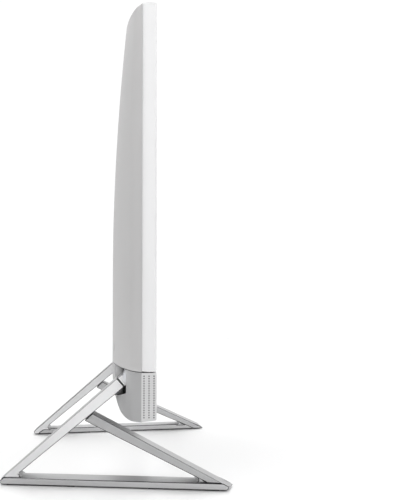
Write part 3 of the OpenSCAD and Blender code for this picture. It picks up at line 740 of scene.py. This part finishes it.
def build_grille_cloth():
    """Dark acoustic cloth that closes the sound holes from behind."""
    inset = HOLE_DEPTH + CLOTH_GAP
    thickness = CLOTH_THICKNESS
    x, y, end = HALF_W - inset, SCREEN_Y + inset, RIM_Y - 0.4 * MM
    low, high = ROWS_LOW - CLOTH_MARGIN, ROWS_LOW + ROWS * ROW_PITCH + CLOTH_MARGIN
    plan = [(-x, end), (-x, y), (x, y), (x, end)]
    inner = [(-x + thickness, end), (-x + thickness, y + thickness),
             (x - thickness, y + thickness), (x - thickness, end)]
    verts = [(px, py, z) for loop in (plan, inner) for z in (low, high) for px, py in loop]
    faces = []
    for k in range(3):
        faces += [(k, k + 1, k + 5, k + 4), (k + 8, k + 12, k + 13, k + 9),
                  (k, k + 8, k + 9, k + 1), (k + 4, k + 5, k + 13, k + 12)]
    faces += [(0, 4, 12, 8), (3, 11, 15, 7)]
    cloth = mesh_object("grille_cloth", verts, faces, smooth=False)
    fix_normals(cloth)
    return cloth


grille_shell = build_grille_shell()
grille_cloth = build_grille_cloth()


# ---- rim round the screen ----

def rounded_loop(inset, top_r, low_r, segments=6):
    """(x, z) points of the rim's outline moved inwards, from the top right corner round to the start."""
    x, low, high = HALF_W - inset, SEAM_TOP + inset, rim_high.z - inset
    loop = []
    for sx, z, side, start, radius in ((1, high, -1, 0, top_r), (-1, high, -1, 90, top_r),
                                       (-1, low, 1, 180, low_r), (1, low, 1, 270, low_r)):
        radius = max(radius - inset, 0.02 * MM)
        for k in range(segments + 1):
            turn = math.radians(start + 90 * k / segments)
            loop.append((sx * (x - radius) + radius * math.cos(turn),
                         z + side * radius + radius * math.sin(turn)))
    return loop


RIM_EDGE_R = 2.0 * MM
CROWN_Y = SCREEN_Y + 5.5 * MM
CROWN_R_FRONT, CROWN_R_REAR = 24 * MM, 34 * MM
RIM_TOP_R, RIM_LOW_R = 2.2 * MM, 1.0 * MM


def build_rim_shell():
    """The rim: a soft front edge, slightly crowned sides and a fine step where it meets the back cover."""
    profile = []
    for a in range(0, 91, 15):
        turn = math.radians(a)
        profile.append((0.2 * MM + RIM_EDGE_R * (1 - math.sin(turn)), SCREEN_Y + RIM_EDGE_R * (1 - math.cos(turn))))
    for d in (3.6, 5.5, 7.2, 8.8, 10.2, 11.4, 12.1):
        y = SCREEN_Y + d * MM
        profile.append(((y - CROWN_Y) ** 2 / (2 * (CROWN_R_REAR if y > CROWN_Y else CROWN_R_FRONT)), y))
    profile += [(0.85 * MM, RIM_Y - 0.1 * MM), (1.05 * MM, RIM_Y), (WALL, RIM_Y), (WALL, SCREEN_Y + 0.3 * MM)]
    loops = [[(x, y, z) for x, z in rounded_loop(inset, RIM_TOP_R, RIM_LOW_R)] for inset, y in profile]
    verts = [point for loop in loops for point in loop]
    size = len(loops[0])
    faces = []
    count = len(profile)
    for i in range(count):
        a, b = i * size, ((i + 1) % count) * size
        faces += [(a + k, a + (k + 1) % size, b + (k + 1) % size, b + k) for k in range(size)]
    rim = mesh_object("rim_shell", verts, faces)
    fix_normals(rim)
    shade(rim, 40)
    return rim


rim_shell = build_rim_shell()


# ---- details inside the sockets ----

def bar(work, x, half_width, z, back, front, low, high):
    """Adds a box in a socket to a bmesh. In mm, but for x and z: Y from the sockets' face, Z from z."""
    face_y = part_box("usb_ports")[1].y
    box_mesh(work, (x - half_width * MM, face_y - back * MM, z + low * MM),
             (x + half_width * MM, face_y - front * MM, z + high * MM))


def build_socket_contacts():
    """Tongue and contacts of each USB socket, the video socket's tongue and the network socket's wires."""
    plastic, metal = bmesh.new(), bmesh.new()
    z = MOUNTS["usb_sockets"].z
    low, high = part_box("usb_ports")
    first, last = low.x + 7.25 * MM, high.x - 7.25 * MM
    for i in range(4):
        x = first + (last - first) * i / 3
        bar(plastic, x, 5.6, z, 12, 1.2, 0.3, 1.9)
        for k in range(4):
            bar(metal, x + (k - 1.5) * 2.4 * MM, 0.5, z, 10, 2, 0.12, 0.34)
    low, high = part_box("video_port")
    bar(plastic, (low.x + high.x) / 2, 5.6, (low.z + high.z) / 2, 11, 1.5, -0.5, 0.5)
    low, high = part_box("network_port")
    x, z = (low.x + high.x) / 2, (low.z + high.z) / 2
    for k in range(8):
        wire = x + (k - 3.5) * 1.02 * MM
        bar(metal, wire, 0.2, z, 11.5, 4, 1.6, 2)
        bar(metal, wire, 0.2, z, 12.8, 11.3, -1.6, 2)
    return bmesh_object("socket_tongues", plastic), bmesh_object("socket_contacts", metal)


socket_tongues, socket_contacts = build_socket_contacts()


# ---- finishes ----

shell_white = moulded("shell_white", (0.58, 0.575, 0.575), roughness=0.42, grain=1600)
rim_white = moulded("rim_white", (0.75, 0.75, 0.755), roughness=0.30, grain=1800, depth=0.00001, coat=0.2)
chin_silver = moulded("chin_silver", (0.43, 0.43, 0.435), roughness=0.38, grain=2200, depth=0.00001, specular=0.6)
grille_silver = moulded("grille_silver", (0.58, 0.58, 0.585), roughness=0.36, grain=2200, depth=0.00001,
                        specular=0.6)
leg_alloy = brushed("leg_alloy", (0.60, 0.60, 0.605), roughness=0.32)
# The metal reflects less at grazing angles. Its narrow chamfers get a dark colour that is painted shade, standing in
# for the dark lines the chamfers show where they turn away from the light.
leg_alloy.node_tree.nodes["Principled BSDF"].inputs["Specular Tint"].default_value = (0.55, 0.55, 0.55, 1)
leg_chamfer_painted_shade = brushed("leg_chamfer_painted_shade", (0.16, 0.16, 0.165), roughness=0.25, stretch=(300, 300, 300))
black_plastic = moulded("black_plastic", (0.022, 0.022, 0.024), roughness=0.45)
cloth_black = moulded("cloth_black", (0.012, 0.012, 0.013), roughness=0.9, grain=900, depth=0.0001)
foot_rubber = moulded("foot_rubber", (0.025, 0.025, 0.026), roughness=0.85, grain=700, depth=0.00005)
bezel_black = moulded("bezel_black", (0.012, 0.012, 0.013), roughness=0.28, grain=2600, depth=0.000005)
steel = brushed("steel", (0.60, 0.61, 0.63), roughness=0.32, stretch=(400, 400, 40))
zinc_sheet = brushed("zinc_sheet", (0.66, 0.67, 0.69), roughness=0.42, stretch=(60, 60, 25))
copper = brushed("copper", (0.80, 0.42, 0.27), roughness=0.3, stretch=(300, 300, 30))
brass = brushed("brass", (0.80, 0.62, 0.33), roughness=0.3, stretch=(300, 300, 30))
drive_alloy = brushed("drive_alloy", (0.55, 0.56, 0.58), roughness=0.4, stretch=(200, 200, 30))
lid_metal = brushed("lid_metal", (0.62, 0.62, 0.64), roughness=0.38, stretch=(500, 40, 500))
cable_black = moulded("cable_black", (0.02, 0.02, 0.022), roughness=0.55, grain=1200)
led_yellow = moulded("led_yellow", (0.85, 0.80, 0.45), roughness=0.4)


def glass_screen():
    """Black display glass with a faint deep reflection and a little dust."""
    material, tree, shader = new_material("screen_glass", (0.006, 0.006, 0.008), 0.08, coat=0.6,
                                          coat_roughness=0.04)
    where = object_coordinates(tree)
    dust = noise(tree, where, 260, detail=5, roughness=0.7)
    vary_roughness(tree, shader, dust, 0.06, 0.13)
    tree.links.new(ramp(tree, noise(tree, where, 4, detail=2), (0.005, 0.005, 0.007), (0.008, 0.008, 0.011)),
                   shader.inputs["Base Color"])
    return material


def circuit_board():
    """Green solder mask over a faint pattern of tracks."""
    material, tree, shader = new_material("circuit_board", (0.02, 0.10, 0.04), 0.35, coat=0.3)
    where = object_coordinates(tree)
    cells = tree.nodes.new("ShaderNodeTexVoronoi")
    cells.feature = "DISTANCE_TO_EDGE"
    cells.distance = "MANHATTAN"
    cells.inputs["Scale"].default_value = 260
    tree.links.new(where, cells.inputs["Vector"])
    tree.links.new(ramp(tree, cells.outputs["Distance"], (0.035, 0.15, 0.06), (0.012, 0.075, 0.03), (0.02, 0.08)),
                   shader.inputs["Base Color"])
    add_bump(tree, shader, cells.outputs["Distance"], 0.00004, 0.4)
    vary_roughness(tree, shader, noise(tree, where, 90), 0.28, 0.42)
    return material


def clear_acrylic():
    """Milky acrylic for the light guide."""
    material, tree, shader = new_material("clear_acrylic", (0.90, 0.93, 0.94), 0.12)
    where = object_coordinates(tree)
    vary_roughness(tree, shader, noise(tree, where, 300, detail=3), 0.08, 0.18)
    tree.links.new(ramp(tree, noise(tree, where, 6), (0.88, 0.91, 0.92), (0.92, 0.95, 0.96)),
                   shader.inputs["Base Color"])
    return material


screen_glass = glass_screen()
board_green = circuit_board()
acrylic = clear_acrylic()

LOOK_OF_SLOT = {
    "leg_metal": leg_alloy, "foot_rubber": foot_rubber, "steel": steel, "zinc_sheet": zinc_sheet,
    "white_plastic": rim_white, "grey_plastic": chin_silver, "black_plastic": black_plastic,
    "screen_glass": screen_glass, "clear_acrylic": acrylic, "led_phosphor": led_yellow,
    "circuit_board": board_green, "brass": brass, "processor_lid": lid_metal, "copper": copper,
    "drive_metal": drive_alloy, "cable_sleeve": cable_black,
}

for name, node in NODES.items():
    if name in ("back_cover", "chin_cover", "speaker_grille", "rim_frame"):
        continue
    node.data.materials.clear()
    node.data.materials.append(LOOK_OF_SLOT[SLOT_OF[name]])
NODES["screen_bezel"].data.materials[0] = bezel_black
NODES["power_button"].data.materials[0] = chin_silver

# Bevel widths in mm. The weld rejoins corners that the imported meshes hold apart.
EDGE_WIDTHS = {"left_leg": 0.6, "right_leg": 0.6, "left_hinge_arm": 0.5, "right_hinge_arm": 0.5,
               "io_plate": 0.2, "power_button": 0.3, "privacy_shutter": 0.15, "hard_drive": 0.4,
               "left_hinge_block": 0.3, "right_hinge_block": 0.3, "left_speaker": 0.4, "right_speaker": 0.4,
               "fan_housing": 0.3, "foot_pads": 0.2, "leg_screws": 0.15, "cover_screws": 0.2, "hinge_shaft": 0.4}
LEG_WELD, FINE_WELD = 0.4 * MM, 1e-6
LEG_FLAT_ANGLE, FINE_FLAT_ANGLE = 3, 0.5
BEVEL_ANGLE = 35


def bevel_node(node, width, is_leg):
    """Bevels a node of the frame with modifiers, which leave its mesh as it is. The legs stay flat-shaded."""
    weld = node.modifiers.new("weld", "WELD")
    weld.merge_threshold = LEG_WELD if is_leg else FINE_WELD
    merge = node.modifiers.new("merge_flat_faces", "DECIMATE")
    merge.decimate_type = "DISSOLVE"
    merge.angle_limit = math.radians(LEG_FLAT_ANGLE if is_leg else FINE_FLAT_ANGLE)
    edge = node.modifiers.new("bevel", "BEVEL")
    edge.width = width
    edge.segments = 1 if is_leg else 3
    edge.limit_method = "ANGLE"
    edge.angle_limit = math.radians(BEVEL_ANGLE)
    edge.miter_outer = "MITER_ARC"
    edge.harden_normals = False
    edge.use_clamp_overlap = False
    if not is_leg:
        even = node.modifiers.new("even_normals", "WEIGHTED_NORMAL")
        even.mode = "FACE_AREA_WITH_ANGLE"
        even.weight = 100
    for polygon in node.data.polygons:
        polygon.use_smooth = not is_leg
    return edge


for name, width in EDGE_WIDTHS.items():
    edge = bevel_node(NODES[name], width * MM, name.endswith("_leg"))
    # The legs' bevel faces take the dark chamfer material: painted shade along their edges.
    if SLOT_OF[name] == "leg_metal":
        NODES[name].data.materials.append(leg_chamfer_painted_shade)
        edge.material = 1

dress(rim_shell, "head", rim_white)
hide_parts("rim_frame")
# The slot linings take the rim's white rather than the chin's grey: a lighter colour as painted light inside the shaded
# slots.
dress(slot_walls, "head", rim_white)
dress(back_shell, "head", shell_white)
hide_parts("back_cover")
dress(chin_shell, "head", chin_silver)
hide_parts("chin_cover")
dress(grille_shell, "head", grille_silver)
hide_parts("speaker_grille")
dress(grille_cloth, "head", cloth_black)
dress(socket_tongues, "head", black_plastic)
dress(socket_contacts, "head", brass)


# ---- floor, light and camera ----

FLOOR_REACH = 3
floor = mesh_object("studio_floor", [(x * FLOOR_REACH, y * FLOOR_REACH, 0)
                                     for x, y in ((-1, -1), (1, -1), (1, 1), (-1, 1))], [(0, 1, 2, 3)], smooth=False)
floor.data.materials.append(new_material("studio_white", (0.93, 0.93, 0.93), 0.4, specular=1.0)[0])


def lamp(name, place, aim, size, power):
    light = bpy.data.lights.new(name, "AREA")
    light.shape = "RECTANGLE"
    light.size = light.size_y = size
    light.energy = power
    holder = bpy.data.objects.new(name, light)
    holder.location = place
    holder.rotation_euler = (Vector(aim) - Vector(place)).to_track_quat("-Z", "Y").to_euler()
    bpy.context.scene.collection.objects.link(holder)


lamp("back_lamp", (-0.42, 0.45, 0.8), (-0.2, 0.03, 0.4), 0.25, 1.5)
lamp("side_lamp", (-0.8, 0.2, 1.0), (-0.25, 0, 0.38), 0.35, 1.5)
lamp("front_lamp", (-0.85, -0.95, 0.75), (-0.25, -0.03, 0.25), 0.5, 4)


# Brightness of the surroundings, as (degrees round, value): 0 is the side the camera stands on, 90 the +Y side.
LOW_BAND = [(-180, 1.04), (-158, 1.04), (-140, 1.0), (-100, 1.0), (-76, 0.2), (-60, 0.05), (-36, 0.05), (-22, 0.8),
            (-12, 2.1), (8, 2.0), (18, 0.5), (32, 0.06), (100, 0.08), (150, 0.15), (164, 1.04), (180, 1.04)]
HIGH_BAND = [(-180, 3.0), (-130, 3.0), (-80, 0.5), (-20, 0.6), (60, 0.6), (110, 0.4), (135, 3.0), (180, 3.0)]
HIGH_FROM, HIGH_TO = 0.3, 0.6           # Z of the direction over which the high band takes over
CEILING_FROM, CEILING_TO = 0.82, 0.93
CEILING = 0.1


def studio_world():
    """Surroundings that differ by direction: white beyond the computer, bright behind the camera, dark to the sides."""
    world = bpy.data.worlds.new("studio")
    world.use_nodes = True
    bpy.context.scene.world = world
    tree = world.node_tree
    where = tree.nodes.new("ShaderNodeTexCoord")
    split = tree.nodes.new("ShaderNodeSeparateXYZ")
    tree.links.new(where.outputs["Generated"], split.inputs["Vector"])
    turned = tree.nodes.new("ShaderNodeMath")
    turned.operation = "MULTIPLY"
    turned.inputs[1].default_value = -1
    tree.links.new(split.outputs["X"], turned.inputs[0])
    azimuth = tree.nodes.new("ShaderNodeMath")
    azimuth.operation = "ARCTAN2"
    tree.links.new(split.outputs["Y"], azimuth.inputs[0])
    tree.links.new(turned.outputs[0], azimuth.inputs[1])

    def fraction(value, start, end):
        """0 to 1 as value goes from start to end."""
        node = tree.nodes.new("ShaderNodeMapRange")
        node.inputs["From Min"].default_value = start
        node.inputs["From Max"].default_value = end
        tree.links.new(value, node.inputs["Value"])
        return node.outputs["Result"]

    def around(stops):
        """Brightness round the room."""
        band = tree.nodes.new("ShaderNodeValToRGB")
        tree.links.new(round_room, band.inputs["Fac"])
        while len(band.color_ramp.elements) < len(stops):
            band.color_ramp.elements.new(0.5)
        for element, (angle, value) in zip(band.color_ramp.elements, stops):
            element.position = (angle + 180) / 360
            element.color = (value, value, value, 1)
        return band.outputs["Color"]

    def mix(factor, a):
        """A mix whose first colour is a. Its second is set by the caller."""
        node = tree.nodes.new("ShaderNodeMix")
        node.data_type = "RGBA"
        tree.links.new(factor, node.inputs["Factor"])
        tree.links.new(a, node.inputs["A"])
        return node

    round_room = fraction(azimuth.outputs[0], -math.pi, math.pi)
    walls = mix(fraction(split.outputs["Z"], HIGH_FROM, HIGH_TO), around(LOW_BAND))
    tree.links.new(around(HIGH_BAND), walls.inputs["B"])
    room = mix(fraction(split.outputs["Z"], CEILING_FROM, CEILING_TO), walls.outputs["Result"])
    room.inputs["B"].default_value = (CEILING, CEILING, CEILING, 1)
    tree.links.new(room.outputs["Result"], tree.nodes["Background"].inputs["Color"])


studio_world()
bpy.context.scene.view_settings.view_transform = "Standard"

YAW, PITCH = 0.063944, 0.035927     # radians: towards -Y from straight along +X, and upwards
CAMERA_PLACE = (-1.22995, -0.01277, 0.1692)
SENSOR_WIDTH, FOCAL_LENGTH = 36, 83.69
camera_data = bpy.data.cameras.new("camera")
camera_data.sensor_width = SENSOR_WIDTH
camera_data.lens = FOCAL_LENGTH
camera_data.clip_start = 0.05
camera = bpy.data.objects.new("camera", camera_data)
camera.location = CAMERA_PLACE
direction = Vector((math.cos(PITCH) * math.cos(YAW), -math.cos(PITCH) * math.sin(YAW), math.sin(PITCH)))
camera.rotation_euler = direction.to_track_quat("-Z", "Y").to_euler()
bpy.context.scene.collection.objects.link(camera)
bpy.context.scene.camera = camera
